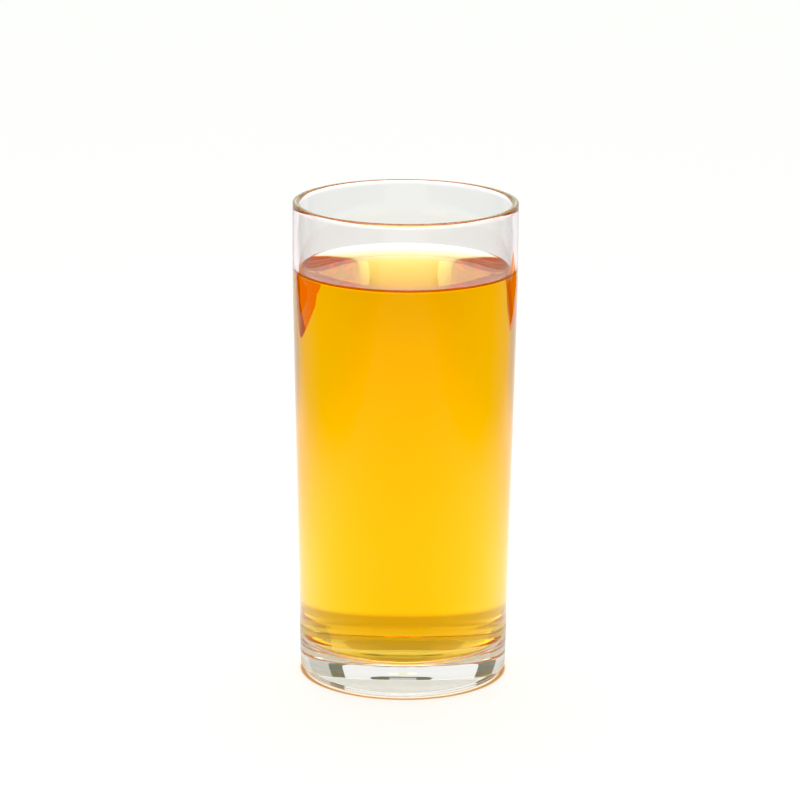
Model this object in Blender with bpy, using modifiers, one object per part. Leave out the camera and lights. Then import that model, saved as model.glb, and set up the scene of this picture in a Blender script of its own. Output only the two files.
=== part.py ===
"""A tall straight-sided drinking glass, filled with clear fruit juice.

Units are metres and +Z is up. The origin is on the glass's axis, on the surface that it stands on.
Both pieces are turned about that axis: the glass is one solid with a thick clear base, and the juice
is one solid up to its level, with the curved edge that a liquid has where it wets a wall.
"""

import math

import bmesh
import bpy

# Driving dimensions of the glass
HEIGHT = 0.1407
RIM_RADIUS = 0.0325
BASE_RADIUS = 0.0302
STRAIGHT_BAND = 0.024
TAPER_POWER = 1.1
RIM_WALL = 0.0018
FOOT_WALL = 0.0023
RIM_FLATNESS = 0.3
HEEL_RADIUS = 0.003
BASE_THICKNESS = 0.0094
INNER_CORNER_RADIUS = 0.0045
PUNT_RADIUS = 0.0225
PUNT_DEPTH = 0.0011

# Driving dimensions of the juice
JUICE_LEVEL = 0.1196
MENISCUS_HEIGHT = 0.0021
CAPILLARY_LENGTH = 0.0025
WALL_GAP = 0.0003

# How finely the turned shapes are divided
TURN_STEPS = 72
WALL_STEPS = 9
ARC_STEPS = 6
MENISCUS_STEPS = 5
MENISCUS_FIRST_STEP = 0.25
MENISCUS_STEP_POWER = 1.5
MERGE_DISTANCE = 0.00001
SHARP_ANGLE = math.radians(40)

GLASS_COLOUR = (0.93, 0.96, 0.95, 1.0)
JUICE_COLOUR = (0.98, 0.62, 0.03, 1.0)
GLASS_IOR = 1.52
JUICE_IOR = 1.345


def clear_scene():
    """Starts from an empty scene, whatever the file held."""
    for old in list(bpy.data.objects):
        bpy.data.objects.remove(old, do_unlink=True)


def outer_radius(z):
    """The outside of the glass: straight below the rim, then drawn in slightly to the base."""
    taper_height = HEIGHT - STRAIGHT_BAND
    drop = max(0.0, taper_height - z) / taper_height
    return RIM_RADIUS - (RIM_RADIUS - BASE_RADIUS) * drop**TAPER_POWER


def inner_radius(z):
    """The inside of the glass: the wall thickens evenly from the rim to the foot."""
    share = 1.0 - z / HEIGHT
    return outer_radius(z) - (RIM_WALL + (FOOT_WALL - RIM_WALL) * share)


def arc(centre, radius, start_deg, end_deg, steps, flatness=1.0):
    """Points (r, z) on an arc, both ends included; 0 degrees points away from the axis and 90 up.

    A flatness below 1 lowers the arc to that share of its height, as half an ellipse.
    """
    points = []
    for i in range(steps + 1):
        angle = math.radians(start_deg + (end_deg - start_deg) * i / steps)
        across, up = radius * math.cos(angle), radius * math.sin(angle) * flatness
        points.append((centre[0] + across, centre[1] + up))
    return points


def wall(radius_at, start_z, end_z, steps):
    """Points (r, z) up or down a side wall, both ends included."""
    heights = [start_z + (end_z - start_z) * i / steps for i in range(steps + 1)]
    return [(radius_at(z), z) for z in heights]


def glass_profile():
    """From the middle of the inner floor, up the inside, over the rim and down to the underside."""
    corner_z = BASE_THICKNESS + INNER_CORNER_RADIUS
    corner = (inner_radius(corner_z) - INNER_CORNER_RADIUS, corner_z)
    rim_tube = RIM_WALL / 2
    rim_z = HEIGHT - rim_tube * RIM_FLATNESS
    rim = (outer_radius(rim_z) - rim_tube, rim_z)
    heel = (outer_radius(HEEL_RADIUS) - HEEL_RADIUS, HEEL_RADIUS)
    punt_curve = (PUNT_RADIUS**2 + PUNT_DEPTH**2) / (2 * PUNT_DEPTH)
    punt_half_angle = math.degrees(math.asin(PUNT_RADIUS / punt_curve))

    profile = [(0.0, BASE_THICKNESS), (corner[0] / 2, BASE_THICKNESS)]
    profile += arc(corner, INNER_CORNER_RADIUS, -90, 0, ARC_STEPS)
    profile += wall(inner_radius, corner_z, rim_z, WALL_STEPS)[1:]
    profile += arc(rim, rim_tube, 180, 0, ARC_STEPS, RIM_FLATNESS)[1:]
    profile += wall(outer_radius, rim_z, HEEL_RADIUS, WALL_STEPS)[1:]
    profile += arc(heel, HEEL_RADIUS, 0, -90, ARC_STEPS)[1:]
    profile += arc(
        (0.0, PUNT_DEPTH - punt_curve), punt_curve, 90 - punt_half_angle, 90, ARC_STEPS
    )
    return profile


def meniscus_run(rise):
    """How far from the wall the juice's surface stands this high above its level.

    This is the shape that surface tension gives a liquid beside an upright wall.
    """
    a = CAPILLARY_LENGTH
    return a * (
        math.acosh(2 * a / rise)
        - math.acosh(2 * a / MENISCUS_HEIGHT)
        - math.sqrt(4 - (rise / a) ** 2)
        + math.sqrt(4 - (MENISCUS_HEIGHT / a) ** 2)
    )


def juice_profile():
    """From the middle of the surface out to the wetted wall, then down the side to the bottom."""
    floor_z = BASE_THICKNESS + WALL_GAP
    corner_radius = INNER_CORNER_RADIUS - WALL_GAP
    corner_z = BASE_THICKNESS + INNER_CORNER_RADIUS
    corner = (inner_radius(corner_z) - INNER_CORNER_RADIUS, corner_z)
    contact_z = JUICE_LEVEL + MENISCUS_HEIGHT
    contact_radius = inner_radius(contact_z) - WALL_GAP

    profile = [(0.0, JUICE_LEVEL)]
    for i in range(MENISCUS_STEPS):
        share = (i + MENISCUS_FIRST_STEP) / MENISCUS_STEPS
        rise = MENISCUS_HEIGHT * share**MENISCUS_STEP_POWER
        profile.append((contact_radius - meniscus_run(rise), JUICE_LEVEL + rise))
    profile += wall(lambda z: inner_radius(z) - WALL_GAP, contact_z, corner_z, WALL_STEPS)
    profile += arc(corner, corner_radius, 0, -90, ARC_STEPS)[1:]
    profile += [(corner[0] / 2, floor_z), (0.0, floor_z)]
    return profile


def clear_material(name, colour, ior):
    """A clear, smooth material with the given tint and refractive index."""
    material = bpy.data.materials.new(name)
    material.use_nodes = True
    shader = material.node_tree.nodes["Principled BSDF"]
    shader.inputs["Base Color"].default_value = colour
    shader.inputs["Roughness"].default_value = 0.0
    shader.inputs["Metallic"].default_value = 0.0
    shader.inputs["IOR"].default_value = ior
    shader.inputs["Transmission Weight"].default_value = 1.0
    material.diffuse_color = colour
    return material


def turned(name, profile, material, collection):
    """Turns a profile of (r, z) points into one closed solid about the Z axis."""
    mesh = bpy.data.meshes.new(name)
    shape = bmesh.new()
    points = [shape.verts.new((r, 0.0, z)) for r, z in profile]
    for first, second in zip(points, points[1:]):
        shape.edges.new((first, second))
    shape.to_mesh(mesh)
    shape.free()
    mesh.materials.append(material)
    piece = bpy.data.objects.new(name, mesh)
    collection.objects.link(piece)

    screw = piece.modifiers.new("Turn", "SCREW")
    screw.axis = "Z"
    screw.angle = math.tau
    screw.steps = TURN_STEPS
    screw.render_steps = TURN_STEPS
    screw.use_merge_vertices = True
    screw.merge_threshold = MERGE_DISTANCE
    return piece


def finish(piece):
    """Makes the turned shape the piece's own mesh, shaded smooth apart from its sharp edges."""
    profile_mesh = piece.data
    graph = bpy.context.evaluated_depsgraph_get()
    mesh = bpy.data.meshes.new_from_object(piece.evaluated_get(graph))
    mesh.shade_smooth()
    mesh.set_sharp_from_angle(angle=SHARP_ANGLE)
    piece.modifiers.clear()
    piece.data = mesh
    mesh.name = piece.name
    bpy.data.meshes.remove(profile_mesh)


def main():
    clear_scene()
    collection = bpy.data.collections.new("glass_of_juice")
    bpy.context.scene.collection.children.link(collection)
    clear_glass = clear_material("clear_glass", GLASS_COLOUR, GLASS_IOR)
    golden_juice = clear_material("golden_juice", JUICE_COLOUR, JUICE_IOR)
    finish(turned("glass", glass_profile(), clear_glass, collection))
    finish(turned("juice", juice_profile(), golden_juice, collection))


main()
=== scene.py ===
"""The looks of a glass of juice: a fine clear glass, a clear golden drink, and a white studio set.

Units are metres and +Z is up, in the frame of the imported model. Both pieces are turned about the Z
axis. The juice reaches just into the wall, so that no air shows between the two.
"""

import math

import bmesh
import bpy
from mathutils import Matrix, Vector


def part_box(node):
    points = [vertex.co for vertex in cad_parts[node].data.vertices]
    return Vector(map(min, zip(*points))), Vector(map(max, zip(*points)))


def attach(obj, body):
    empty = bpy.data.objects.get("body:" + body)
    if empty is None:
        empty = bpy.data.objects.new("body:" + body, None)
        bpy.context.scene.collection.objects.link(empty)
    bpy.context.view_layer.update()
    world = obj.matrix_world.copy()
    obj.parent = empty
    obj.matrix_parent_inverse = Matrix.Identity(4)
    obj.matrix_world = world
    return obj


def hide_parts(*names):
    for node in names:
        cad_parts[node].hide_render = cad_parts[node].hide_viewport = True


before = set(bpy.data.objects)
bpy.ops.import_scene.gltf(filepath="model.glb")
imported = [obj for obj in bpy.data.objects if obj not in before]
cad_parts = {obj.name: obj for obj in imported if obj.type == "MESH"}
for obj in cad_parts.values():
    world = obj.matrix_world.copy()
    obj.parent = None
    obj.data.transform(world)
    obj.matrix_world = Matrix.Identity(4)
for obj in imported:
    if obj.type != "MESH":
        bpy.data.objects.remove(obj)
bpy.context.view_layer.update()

# Sizes of the glass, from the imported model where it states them
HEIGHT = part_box("glass")[1][2]
RIM_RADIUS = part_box("glass")[1][0]
BASE_RADIUS = 0.0302
STRAIGHT_BAND = 0.024
TAPER_POWER = 1.1
RIM_WALL = 0.0018
FOOT_WALL = 0.0023
RIM_FLATNESS = 0.3
HEEL_RADIUS = 0.003
BASE_THICKNESS = 0.0094
INNER_CORNER_RADIUS = 0.0045
PUNT_RADIUS = 0.0225
PUNT_DEPTH = 0.0011

# Sizes of the juice
MENISCUS_HEIGHT = 0.0021
CAPILLARY_LENGTH = 0.0025
JUICE_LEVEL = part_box("juice")[1][2] - MENISCUS_HEIGHT
WALL_OVERLAP = 0.00015

# How finely the turned shapes are divided
TURN_STEPS = 256
WALL_STEPS = 80
ARC_STEPS = 14
MENISCUS_STEPS = 16
MENISCUS_FIRST_STEP = 0.25
MENISCUS_STEP_POWER = 2
CARD_STEPS = 48
AXIS_TOLERANCE = 1e-7
SHARP_ANGLE = math.radians(50)

# How light passes through the glass and the juice
GLASS_IOR = 1.52
GLASS_TINT = (0.45, 0.65, 0.35)
GLASS_DENSITY = 1.0
JUICE_IOR = 1.345
JUICE_TINT = (0.985, 0.855, 0.05)
JUICE_DENSITY = 100.0
WETTED_REFLECTANCE = 0.085
WAVE_SPACING = 0.007
WAVE_DEPTH = 0.00002
WAVE_STRETCH = 10.0

# The camera, which stands where the photographer's did
PHOTO_SIZE = 800
FOCAL_PIXELS = 3750
SENSOR_WIDTH = 36.0
CAMERA_PLACE = (-0.0013, -1.0555, 0.3601)
CAMERA_PITCH = math.radians(14.78)
CAMERA_ROLL = math.radians(0.35)
CLIP_NEAR = 0.05
CLIP_FAR = 50.0

# How the picture is worked out: light crosses the glass and the juice many times before it leaves
BLUE_BLACK_LEVEL = 0.045
MAX_BOUNCES = 128
GLOSSY_BOUNCES = 64

# The room and the table top
ROOM_COLOUR = (1.0, 1.0, 0.97)
ROOM_GLOW = 0.75
FLOOR_HALF_SIZE = 6.0
FLOOR_WHITE = 0.3
FLOOR_ROUGHNESS = 0.9
FLOOR_SHINE = 0.1
TABLE_COLOUR = (0.98, 1.0, 0.97)
TABLE_GLOW = 0.67

# The pattern of painted light and painted shade in which the table glows for the glass. A pair says
# where a change starts and where it ends, in metres from the glass's axis. The lit middle widens behind
# the glass, and the table is lit again far off.
MIDDLE_EDGE = (0.2, 0.31)
MIDDLE_WIDENS = (0.22, 0.36)
MIDDLE_WIDENING = 0.1
SIDE_GLOW = 0.25
BEYOND_EDGE = (0.5, 0.85)
BEYOND_GLOW = 0.9
FAR_EDGE = (0.45, 0.52)
FAR_FADE = (0.42, 0.6)
FAR_GLOW = 0.8
FRONT_FADE = (-0.3, -0.03)
FRONT_GLOW = 0.95

# The bright pool behind the glass, an oval that fades out between these shares of its half sizes
POOL_HALF_WIDTH = 0.2
POOL_HALF_LENGTH = 0.55
POOL_FADE = (0.2, 1.0)
POOL_START = (-0.06, 0.04)
POOL_GLOW = 0.45

# The shade under and close round the glass, which is deeper behind it
UNDER_GLOW = 0.7
CONTACT_GLOW = 0.6
CONTACT_FADE = (0.044, 0.07)
DIMMING_EDGE = (0.032, 0.038)
DIMMING_BEHIND = (-0.01, 0.01)
CONTACT_DIMMING = 0.2

# The painted amber line along the foot of the glass, a painted shade tinted like light through the
# juice, and the painted warm and yellow light on the table
AMBER_START = (0.0288, 0.0292)
AMBER_END = (0.0298, 0.0306)
AMBER_GLOW_CHANGE = -0.4
AMBER_GREEN_CHANGE = -0.55
AMBER_BLUE_CHANGE = -0.75
# Painted yellow light under the glass, where the table's glow loses blue
PAINTED_UNDER_GLASS_TINT_EDGE = (0.03, 0.031)
PAINTED_UNDER_GLASS_BLUE = 0.8
# Painted warm light on the table beside the glass, which only the glass shows
PAINTED_WARM_LIGHT_START = (0.08, 0.28)
PAINTED_WARM_LIGHT_END = (0.28, 0.36)
PAINTED_WARM_LIGHT_RED_CHANGE = 0.08
PAINTED_WARM_LIGHT_GREEN_CHANGE = -0.12

# Colour and brightness of the cards, where 1 is white
CARD_GLOWS = {
    "lit_wall": ((1.0, 1.0, 1.0), 0.92),
    "dark_card": ((1.0, 1.0, 0.9), 0.15),
    "grey_card": ((1.0, 1.0, 0.95), 0.55),
    "dim_card": ((1.0, 0.84, 0.8), 0.47),
    "bright_strip": ((1.0, 1.0, 0.6), 1.7),
    "dull_strip": ((1.0, 1.0, 0.55), 0.9),
    "warm_card": ((1.0, 0.27, 0.04), 1.0),
    "dull_warm_card": ((0.75, 0.2, 0.03), 1.0),
    "tip_warm_card": ((0.42, 0.03, 0.0), 1.0),
}

# Upright cards: name, glow, first and last bearing in degrees, distance, lowest and highest point
UPRIGHT_CARDS = (
    ("backdrop", "lit_wall", -35.0, 25.0, 2.0, 0.0, 1.1),
    ("dark_card_right", "dark_card", 25.0, 34.0, 2.0, 0.0, 1.2),
    ("dark_card_left", "dark_card", -55.0, -35.0, 2.0, 0.0, 1.2),
    ("grey_card_right", "grey_card", 34.0, 57.0, 2.0, 0.0, 1.2),
    ("grey_card_behind", "grey_card", -5.0, 5.0, 1.55, 0.607, 0.736),
    ("dim_card_behind", "dim_card", -28.0, 26.0, 1.6, 0.9, 1.6),
    ("strip_left", "bright_strip", -5.0, -1.7, 1.65, 0.478, 0.518),
    ("strip_right", "bright_strip", 1.7, 5.0, 1.65, 0.478, 0.518),
    ("strip_middle", "dull_strip", -1.7, 1.7, 1.65, 0.478, 0.53),
)

# The dark lens-shaped card behind the glass, whose place and size are in degrees as the glass sees them
DISC_BEARING = 0.5
DISC_LOW = 20.0
DISC_HIGH = 26.5
DISC_HALF_WIDTH = 12.0
DISC_DISTANCE = 1.6

# Warm cards that lie on the table: name, glow, height and corners
LYING_CARDS = (
    (
        "warm_card_right",
        "warm_card",
        0.002,
        (
            (0.218, 0.471),
            (0.22, 0.452),
            (0.233, 0.429),
            (0.245, 0.401),
            (0.259, 0.369),
            (0.277, 0.333),
            (0.29, 0.312),
            (0.305, 0.3),
            (0.42, 0.3),
            (0.3, 0.471),
        ),
    ),
    (
        "warm_card_left",
        "dull_warm_card",
        0.002,
        ((-0.318, 0.42), (-0.314, 0.31), (-0.42, 0.22), (-0.46, 0.24), (-0.38, 0.4)),
    ),
    (
        "warm_card_tip",
        "tip_warm_card",
        0.0025,
        ((0.268, 0.35), (0.29, 0.312), (0.305, 0.3), (0.42, 0.3), (0.4, 0.35)),
    ),
)

# Square lamps: name, place, what they point at, width and power in watts
LAMPS = (
    ("overhead_wide", (0.0, 0.8, 3.0), (0.0, 0.8, 0.0), 3.0, 30.0),
    ("overhead_pool", (0.0, 0.15, 0.4), (0.0, 0.15, 0.0), 0.25, 0.45),
    ("softbox_left", (-0.5, -0.85, 0.65), (0.0, 0.0, 0.05), 0.5, 2.0),
    ("softbox_right", (0.5, -0.85, 0.65), (0.0, 0.0, 0.05), 0.5, 1.5),
)


def outer_radius(z):
    """The outside of the glass: straight below the rim, then drawn in slightly to the base."""
    taper_height = HEIGHT - STRAIGHT_BAND
    drop = max(0.0, taper_height - z) / taper_height
    return RIM_RADIUS - (RIM_RADIUS - BASE_RADIUS) * drop**TAPER_POWER


def inner_radius(z):
    """The inside of the glass: the wall thickens evenly from the rim to the foot."""
    share = 1.0 - z / HEIGHT
    return outer_radius(z) - (RIM_WALL + (FOOT_WALL - RIM_WALL) * share)


def arc(centre, radius, start_deg, end_deg, steps, flatness=1.0):
    """Points (r, z) on an arc, both ends included; 0 degrees points away from the axis and 90 up.

    A flatness below 1 lowers the arc to that share of its height, as half an ellipse.
    """
    points = []
    for i in range(steps + 1):
        angle = math.radians(start_deg + (end_deg - start_deg) * i / steps)
        across, up = radius * math.cos(angle), radius * math.sin(angle) * flatness
        points.append((centre[0] + across, centre[1] + up))
    return points


def wall(radius_at, start_z, end_z, steps):
    """Points (r, z) up or down a side wall, both ends included."""
    heights = [start_z + (end_z - start_z) * i / steps for i in range(steps + 1)]
    return [(radius_at(z), z) for z in heights]


def flat(start_r, end_r, z, steps):
    """Points (r, z) along a level stretch, both ends included."""
    return [(start_r + (end_r - start_r) * i / steps, z) for i in range(steps + 1)]


def glass_profile():
    """From the middle of the inner floor, up the inside, over the rim and down to the underside."""
    corner_z = BASE_THICKNESS + INNER_CORNER_RADIUS
    corner = (inner_radius(corner_z) - INNER_CORNER_RADIUS, corner_z)
    rim_tube = RIM_WALL / 2
    rim_z = HEIGHT - rim_tube * RIM_FLATNESS
    rim = (outer_radius(rim_z) - rim_tube, rim_z)
    heel = (outer_radius(HEEL_RADIUS) - HEEL_RADIUS, HEEL_RADIUS)
    punt_curve = (PUNT_RADIUS**2 + PUNT_DEPTH**2) / (2 * PUNT_DEPTH)
    punt_half_angle = math.degrees(math.asin(PUNT_RADIUS / punt_curve))

    profile = flat(0.0, corner[0], BASE_THICKNESS, ARC_STEPS)
    profile += arc(corner, INNER_CORNER_RADIUS, -90, 0, ARC_STEPS)[1:]
    profile += wall(inner_radius, corner_z, rim_z, WALL_STEPS)[1:]
    profile += arc(rim, rim_tube, 180, 0, ARC_STEPS, RIM_FLATNESS)[1:]
    profile += wall(outer_radius, rim_z, HEEL_RADIUS, WALL_STEPS)[1:]
    profile += arc(heel, HEEL_RADIUS, 0, -90, ARC_STEPS)[1:]
    profile += arc(
        (0.0, PUNT_DEPTH - punt_curve), punt_curve, 90 - punt_half_angle, 90, ARC_STEPS
    )
    return profile


def meniscus_run(rise):
    """How far from the wall a liquid's surface is when it still stands this high above its level."""
    a = CAPILLARY_LENGTH
    return a * (
        math.acosh(2 * a / rise)
        - math.acosh(2 * a / MENISCUS_HEIGHT)
        - math.sqrt(4 - (rise / a) ** 2)
        + math.sqrt(4 - (MENISCUS_HEIGHT / a) ** 2)
    )


def juice_profile():
    """From the middle of the surface out to the wetted wall, then down the side to the bottom."""
    floor_z = BASE_THICKNESS - WALL_OVERLAP
    corner_radius = INNER_CORNER_RADIUS + WALL_OVERLAP
    corner_z = BASE_THICKNESS + INNER_CORNER_RADIUS
    corner = (inner_radius(corner_z) - INNER_CORNER_RADIUS, corner_z)
    contact_z = JUICE_LEVEL + MENISCUS_HEIGHT
    contact_radius = inner_radius(contact_z)

    shares = [(i + MENISCUS_FIRST_STEP) / MENISCUS_STEPS for i in range(MENISCUS_STEPS)]
    rises = [MENISCUS_HEIGHT * share**MENISCUS_STEP_POWER for share in shares]
    curve = [(contact_radius - meniscus_run(rise), JUICE_LEVEL + rise) for rise in rises]
    profile = flat(0.0, curve[0][0], JUICE_LEVEL, ARC_STEPS)[:-1]
    profile += curve
    profile.append((contact_radius, contact_z))
    profile += wall(lambda z: inner_radius(z) + WALL_OVERLAP, contact_z, corner_z, WALL_STEPS)
    profile += arc(corner, corner_radius, 0, -90, ARC_STEPS)[1:]
    profile += flat(corner[0], 0.0, floor_z, ARC_STEPS)[1:]
    return profile


def turned(name, profile, reflectance_at):
    """Turns a profile of (r, z) points into one closed mesh about the Z axis.

    Each point also keeps how strongly its surface mirrors, from 0 to 1, as reflectance_at(r, z) says.
    """
    mesh = bpy.data.meshes.new(name)
    shape = bmesh.new()
    rings = []
    for r, z in profile:
        if r < AXIS_TOLERANCE:
            rings.append([shape.verts.new((0.0, 0.0, z))])
            continue
        angles = [math.tau * i / TURN_STEPS for i in range(TURN_STEPS)]
        rings.append([shape.verts.new((r * math.cos(a), r * math.sin(a), z)) for a in angles])
    for upper, lower in zip(rings, rings[1:]):
        for i in range(TURN_STEPS):
            j = (i + 1) % TURN_STEPS
            corners = [upper[i % len(upper)], upper[j % len(upper)]]
            corners += [lower[j % len(lower)], lower[i % len(lower)]]
            shape.faces.new(list(dict.fromkeys(corners)))
    bmesh.ops.recalc_face_normals(shape, faces=shape.faces)
    shape.to_mesh(mesh)
    shape.free()
    mesh.shade_smooth()
    mesh.set_sharp_from_angle(angle=SHARP_ANGLE)
    reflectance = mesh.attributes.new("reflectance", "FLOAT", "POINT")
    for vertex, value in zip(mesh.vertices, reflectance.data):
        value.value = reflectance_at(math.hypot(vertex.co.x, vertex.co.y), vertex.co.z)
    piece = bpy.data.objects.new(name, mesh)
    bpy.context.scene.collection.objects.link(piece)
    return piece


def glass_reflectance(r, z):
    """The inside of the glass mirrors far less where the juice wets it."""
    below_contact = BASE_THICKNESS / 2 < z < JUICE_LEVEL + MENISCUS_HEIGHT
    inside = r < outer_radius(z) - RIM_WALL / 2
    return WETTED_REFLECTANCE if below_contact and inside else 1.0


def juice_reflectance(r, z):
    """Only the juice's open surface mirrors; its side and bottom lie in the glass."""
    return 1.0 if z > JUICE_LEVEL - RIM_WALL and r < inner_radius(z) + WALL_OVERLAP / 2 else 0.0


def add_reflectance(material):
    """Tints the shine by the reflectance that the mesh's points keep."""
    nodes, links = material.node_tree.nodes, material.node_tree.links
    attribute = nodes.new("ShaderNodeAttribute")
    attribute.attribute_name = "reflectance"
    shader = nodes["Principled BSDF"]
    links.new(attribute.outputs["Color"], shader.inputs["Specular Tint"])


def add_waviness(material):
    """Faint upright waves, as drawn or blown glass has."""
    tree = material.node_tree
    coordinates = tree.nodes.new("ShaderNodeTexCoord")
    stretch = tree.nodes.new("ShaderNodeMapping")
    stretch.inputs["Scale"].default_value = (1.0, 1.0, 1.0 / WAVE_STRETCH)
    noise = tree.nodes.new("ShaderNodeTexNoise")
    noise.inputs["Scale"].default_value = 1.0 / WAVE_SPACING
    noise.inputs["Detail"].default_value = 1.0
    bump = tree.nodes.new("ShaderNodeBump")
    bump.inputs["Distance"].default_value = WAVE_DEPTH
    tree.links.new(coordinates.outputs["Object"], stretch.inputs["Vector"])
    tree.links.new(stretch.outputs["Vector"], noise.inputs["Vector"])
    tree.links.new(noise.outputs["Fac"], bump.inputs["Height"])
    tree.links.new(bump.outputs["Normal"], tree.nodes["Principled BSDF"].inputs["Normal"])


def clear_material(name, ior, tint, density):
    """A smooth clear material that takes its colour from the depth that the light passes through."""
    material = bpy.data.materials.new(name)
    material.use_nodes = True
    nodes, links = material.node_tree.nodes, material.node_tree.links
    shader = nodes["Principled BSDF"]
    shader.inputs["Base Color"].default_value = (1.0, 1.0, 1.0, 1.0)
    shader.inputs["Roughness"].default_value = 0.0
    shader.inputs["IOR"].default_value = ior
    shader.inputs["Transmission Weight"].default_value = 1.0
    add_reflectance(material)
    inside = nodes.new("ShaderNodeVolumeAbsorption")
    inside.inputs["Color"].default_value = (*tint, 1.0)
    inside.inputs["Density"].default_value = density
    links.new(inside.outputs["Volume"], nodes["Material Output"].inputs["Volume"])
    return material


def make_glass():
    """The tumbler, in clear glass with a faint green cast and faint waves."""
    material = clear_material("clear_glass", GLASS_IOR, GLASS_TINT, GLASS_DENSITY)
    add_waviness(material)
    piece = turned("glass_tumbler", glass_profile(), glass_reflectance)
    piece.data.materials.append(material)
    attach(piece, "root")
    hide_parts("glass")


def make_juice():
    """The drink, in clear golden juice."""
    piece = turned("juice_fill", juice_profile(), juice_reflectance)
    piece.data.materials.append(
        clear_material("golden_juice", JUICE_IOR, JUICE_TINT, JUICE_DENSITY)
    )
    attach(piece, "root")
    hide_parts("juice")


def make_glow_material(name, colour, strength):
    """A surface that gives off light evenly, as a lit wall or a softbox does."""
    material = bpy.data.materials.new(name)
    material.use_nodes = True
    nodes, links = material.node_tree.nodes, material.node_tree.links
    nodes.remove(nodes["Principled BSDF"])
    glow = nodes.new("ShaderNodeEmission")
    glow.inputs["Color"].default_value = (*colour, 1.0)
    glow.inputs["Strength"].default_value = strength
    links.new(glow.outputs["Emission"], nodes["Material Output"].inputs["Surface"])
    return material


def make_sheet(name, corners, material):
    """A flat sheet of the set, from its corners."""
    mesh = bpy.data.meshes.new(name)
    shape = bmesh.new()
    shape.faces.new([shape.verts.new(corner) for corner in corners])
    shape.to_mesh(mesh)
    shape.free()
    mesh.materials.append(material)
    sheet = bpy.data.objects.new(name, mesh)
    bpy.context.scene.collection.objects.link(sheet)
    return sheet


def make_upright(name, start_deg, end_deg, distance, low, high, material):
    """An upright sheet round the glass, between two bearings: 0 is straight behind, plus is right."""
    ends = [
        (distance * math.sin(math.radians(bearing)), distance * math.cos(math.radians(bearing)))
        for bearing in (start_deg, end_deg)
    ]
    corners = [(*ends[0], low), (*ends[1], low), (*ends[1], high), (*ends[0], high)]
    return make_sheet(name, corners, material)


def only_seen_through_glass(sheet):
    """Keeps a sheet out of direct view and out of the lighting, so that only the glass shows it."""
    sheet.visible_camera = False
    sheet.visible_diffuse = False
    sheet.visible_shadow = False
    sheet.visible_volume_scatter = False


def make_disc(name, material):
    """The upright lens-shaped card behind the glass."""
    low, high, half_width, middle = (
        DISC_DISTANCE * math.tan(math.radians(angle))
        for angle in (DISC_LOW, DISC_HIGH, DISC_HALF_WIDTH, DISC_BEARING)
    )
    corners = []
    for i in range(CARD_STEPS):
        angle = math.tau * i / CARD_STEPS
        x = middle + half_width * math.cos(angle)
        corners.append((x, DISC_DISTANCE, (low + high) / 2 + (high - low) / 2 * math.sin(angle)))
    return make_sheet(name, corners, material)


def calculate(tree, operation, *values):
    """Adds a maths node, whose inputs are sockets or plain numbers."""
    node = tree.nodes.new("ShaderNodeMath")
    node.operation = operation
    for socket, value in zip(node.inputs, values):
        if isinstance(value, bpy.types.NodeSocket):
            tree.links.new(value, socket)
        else:
            socket.default_value = value
    return node.outputs[0]


def ease(tree, value, span, start_result, end_result):
    """Adds a node that goes softly from one result to the other while the value crosses the span."""
    node = tree.nodes.new("ShaderNodeMapRange")
    node.interpolation_type = "SMOOTHSTEP"
    tree.links.new(value, node.inputs["Value"])
    node.inputs["From Min"].default_value, node.inputs["From Max"].default_value = span
    node.inputs["To Min"].default_value = start_result
    node.inputs["To Max"].default_value = end_result
    return node.outputs["Result"]


def multiply(tree, first, second):
    return calculate(tree, "MULTIPLY", first, second)


def distance_of(tree, x, y):
    """Adds nodes for how far a point with these coordinates is from the middle."""
    squares = [calculate(tree, "POWER", calculate(tree, "ABSOLUTE", axis), 2.0) for axis in (x, y)]
    return calculate(tree, "SQRT", calculate(tree, "ADD", *squares))


def table_pattern(tree, x, y, aside, radius):
    """How brightly the table glows for the glass: a lit middle, a pool of light and a contact shade."""
    widening = ease(tree, y, MIDDLE_WIDENS, 0.0, MIDDLE_WIDENING)
    middle = ease(tree, calculate(tree, "SUBTRACT", aside, widening), MIDDLE_EDGE, 1.0, SIDE_GLOW)
    beyond = ease(tree, aside, BEYOND_EDGE, 0.0, BEYOND_GLOW)
    far = calculate(tree, "MAXIMUM", ease(tree, y, FAR_EDGE, 0.0, 1.0), beyond)
    sheet = calculate(tree, "MAXIMUM", middle, far)
    sheet = multiply(tree, sheet, ease(tree, y, FAR_FADE, 1.0, FAR_GLOW))
    sheet = multiply(tree, sheet, ease(tree, y, FRONT_FADE, FRONT_GLOW, 1.0))

    across = calculate(tree, "DIVIDE", x, POOL_HALF_WIDTH)
    along = calculate(tree, "DIVIDE", y, POOL_HALF_LENGTH)
    pool = ease(tree, distance_of(tree, across, along), POOL_FADE, POOL_GLOW, 0.0)
    pool = multiply(tree, pool, ease(tree, y, POOL_START, 0.0, 1.0))
    glow = multiply(tree, calculate(tree, "ADD", sheet, pool), TABLE_GLOW)

    under = ease(tree, radius, (BASE_RADIUS - HEEL_RADIUS, BASE_RADIUS), UNDER_GLOW, 1.0)
    behind = ease(tree, y, DIMMING_BEHIND, 0.0, 1.0)
    dimming = multiply(tree, ease(tree, radius, DIMMING_EDGE, 0.0, CONTACT_DIMMING), behind)
    contact = calculate(tree, "SUBTRACT", CONTACT_GLOW, dimming)
    contact = calculate(tree, "MAXIMUM", contact, ease(tree, radius, CONTACT_FADE, 0.0, 1.0))
    return multiply(tree, multiply(tree, glow, under), contact)


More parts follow.
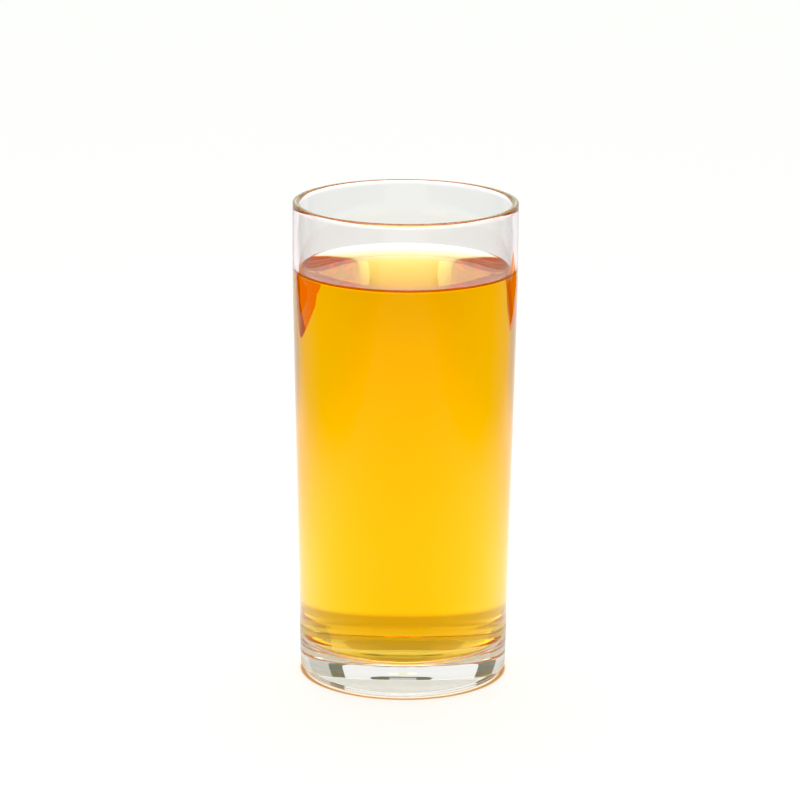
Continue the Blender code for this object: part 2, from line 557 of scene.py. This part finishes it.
def table_colour(tree, aside, radius, amber, seen_directly):
    """The colour of the glow: a painted amber line along the glass's foot, and painted warm light
    beside it for the glass.
    """
    # Painted warm light on the table beside the glass, left out where the camera sees the table
    # directly
    painted_warm_light = multiply(
        tree, ease(tree, aside, PAINTED_WARM_LIGHT_START, 0.0, 1.0), ease(tree, aside, PAINTED_WARM_LIGHT_END, 1.0, 0.0)
    )
    painted_warm_light = multiply(tree, painted_warm_light, calculate(tree, "SUBTRACT", 1.0, seen_directly))
    plain_red, plain_green, plain_blue = TABLE_COLOUR
    red = calculate(tree, "MULTIPLY_ADD", painted_warm_light, PAINTED_WARM_LIGHT_RED_CHANGE, plain_red)
    green = calculate(tree, "MULTIPLY_ADD", painted_warm_light, PAINTED_WARM_LIGHT_GREEN_CHANGE, plain_green)
    green = calculate(tree, "MULTIPLY_ADD", amber, AMBER_GREEN_CHANGE, green)
    # Painted yellow light under the glass: the glow loses blue inside the glass's foot
    blue = ease(tree, radius, PAINTED_UNDER_GLASS_TINT_EDGE, PAINTED_UNDER_GLASS_BLUE, plain_blue)
    blue = calculate(tree, "MULTIPLY_ADD", amber, AMBER_BLUE_CHANGE, blue)
    colour = tree.nodes.new("ShaderNodeCombineColor")
    for name, value in (("Red", red), ("Green", green), ("Blue", blue)):
        tree.links.new(value, colour.inputs[name])
    return colour.outputs["Color"]


def make_table_material():
    """A white table top that glows with painted light, though it is no lamp.

    It glows most round the glass and dims towards the sides, as painted light and painted shade, which
    is what the glass shows.
    Seen directly it glows evenly, apart from the painted amber line along the foot of the glass.
    """
    material = bpy.data.materials.new("table_with_painted_light")
    material.use_nodes = True
    tree = material.node_tree
    shader = tree.nodes["Principled BSDF"]
    shader.inputs["Base Color"].default_value = (FLOOR_WHITE, FLOOR_WHITE, FLOOR_WHITE, 1.0)
    shader.inputs["Roughness"].default_value = FLOOR_ROUGHNESS
    shader.inputs["Specular IOR Level"].default_value = FLOOR_SHINE

    coordinates = tree.nodes.new("ShaderNodeTexCoord")
    place = tree.nodes.new("ShaderNodeSeparateXYZ")
    tree.links.new(coordinates.outputs["Object"], place.inputs[0])
    x, y = place.outputs["X"], place.outputs["Y"]
    aside = calculate(tree, "ABSOLUTE", x)
    radius = distance_of(tree, x, y)
    # A painted amber line round the foot of the glass: painted shade and amber tint, dimmer where the
    # camera sees it directly
    amber = multiply(
        tree, ease(tree, radius, AMBER_START, 0.0, 1.0), ease(tree, radius, AMBER_END, 1.0, 0.0)
    )
    rays = tree.nodes.new("ShaderNodeLightPath")
    seen_directly = rays.outputs["Is Camera Ray"]
    even = calculate(tree, "MULTIPLY_ADD", amber, AMBER_GLOW_CHANGE, TABLE_GLOW)
    choice = tree.nodes.new("ShaderNodeMix")
    tree.links.new(seen_directly, choice.inputs["Factor"])
    tree.links.new(table_pattern(tree, x, y, aside, radius), choice.inputs["A"])
    tree.links.new(even, choice.inputs["B"])
    tree.links.new(choice.outputs["Result"], shader.inputs["Emission Strength"])
    colour = table_colour(tree, aside, radius, amber, seen_directly)
    tree.links.new(colour, shader.inputs["Emission Color"])
    return material


def make_set():
    """The table top, and the cards round it whose reflections give the glass its shapes."""
    half = FLOOR_HALF_SIZE
    corners = [(-half, -half, 0.0), (half, -half, 0.0), (half, half, 0.0), (-half, half, 0.0)]
    make_sheet("studio_floor", corners, make_table_material())

    glows = {name: make_glow_material(name, *glow) for name, glow in CARD_GLOWS.items()}
    cards = [make_upright(name, *place, glows[glow]) for name, glow, *place in UPRIGHT_CARDS]
    cards.append(make_disc("dark_disc", glows["dark_card"]))
    for name, glow, height, outline in LYING_CARDS:
        cards.append(make_sheet(name, [(*corner, height) for corner in outline], glows[glow]))
    for card in cards:
        only_seen_through_glass(card)


def make_lamp(name, place, target, width, power):
    """A square softbox that points at a target."""
    light = bpy.data.lights.new(name, "AREA")
    light.shape = "SQUARE"
    light.size = width
    light.energy = power
    lamp = bpy.data.objects.new(name, light)
    lamp.location = place
    lamp.rotation_euler = (Vector(target) - Vector(place)).to_track_quat("-Z", "Y").to_euler()
    bpy.context.scene.collection.objects.link(lamp)


def make_world():
    """A dim even room, which shows as plain white where the camera looks straight at it."""
    world = bpy.data.worlds.new("studio")
    bpy.context.scene.world = world
    world.use_nodes = True
    nodes, links = world.node_tree.nodes, world.node_tree.links
    room = nodes["Background"]
    room.inputs["Color"].default_value = (*ROOM_COLOUR, 1.0)
    room.inputs["Strength"].default_value = ROOM_GLOW
    view = nodes.new("ShaderNodeBackground")
    view.inputs["Color"].default_value = (1.0, 1.0, 1.0, 1.0)
    view.inputs["Strength"].default_value = 1.0
    rays = nodes.new("ShaderNodeLightPath")
    mix = nodes.new("ShaderNodeMixShader")
    links.new(rays.outputs["Is Camera Ray"], mix.inputs["Fac"])
    links.new(room.outputs["Background"], mix.inputs[1])
    links.new(view.outputs["Background"], mix.inputs[2])
    links.new(mix.outputs["Shader"], nodes["World Output"].inputs["Surface"])


def make_camera():
    """The photo's view, with the photo's perspective."""
    data = bpy.data.cameras.new("camera")
    data.sensor_width = SENSOR_WIDTH
    data.lens = FOCAL_PIXELS / PHOTO_SIZE * SENSOR_WIDTH
    data.clip_start = CLIP_NEAR
    data.clip_end = CLIP_FAR
    camera = bpy.data.objects.new("camera", data)
    camera.matrix_world = (
        Matrix.Translation(CAMERA_PLACE)
        @ Matrix.Rotation(math.pi / 2 - CAMERA_PITCH, 4, "X")
        @ Matrix.Rotation(CAMERA_ROLL, 4, "Z")
    )
    bpy.context.scene.collection.objects.link(camera)
    bpy.context.scene.camera = camera


def set_render_look():
    """Plain colours, with deep yellows as full as in the photo, and enough bounces for the glass."""
    scene = bpy.context.scene
    scene.view_settings.view_transform = "Standard"
    scene.view_settings.use_curve_mapping = True
    response = scene.view_settings.curve_mapping
    response.black_level = (0.0, 0.0, BLUE_BLACK_LEVEL)
    response.update()
    scene.cycles.max_bounces = MAX_BOUNCES
    scene.cycles.transmission_bounces = MAX_BOUNCES
    scene.cycles.glossy_bounces = GLOSSY_BOUNCES
    scene.cycles.caustics_refractive = True
    scene.cycles.caustics_reflective = True
    scene.cycles.blur_glossy = 0.0


make_glass()
make_juice()
make_set()
make_world()
for lamp_values in LAMPS:
    make_lamp(*lamp_values)
make_camera()
set_render_look()
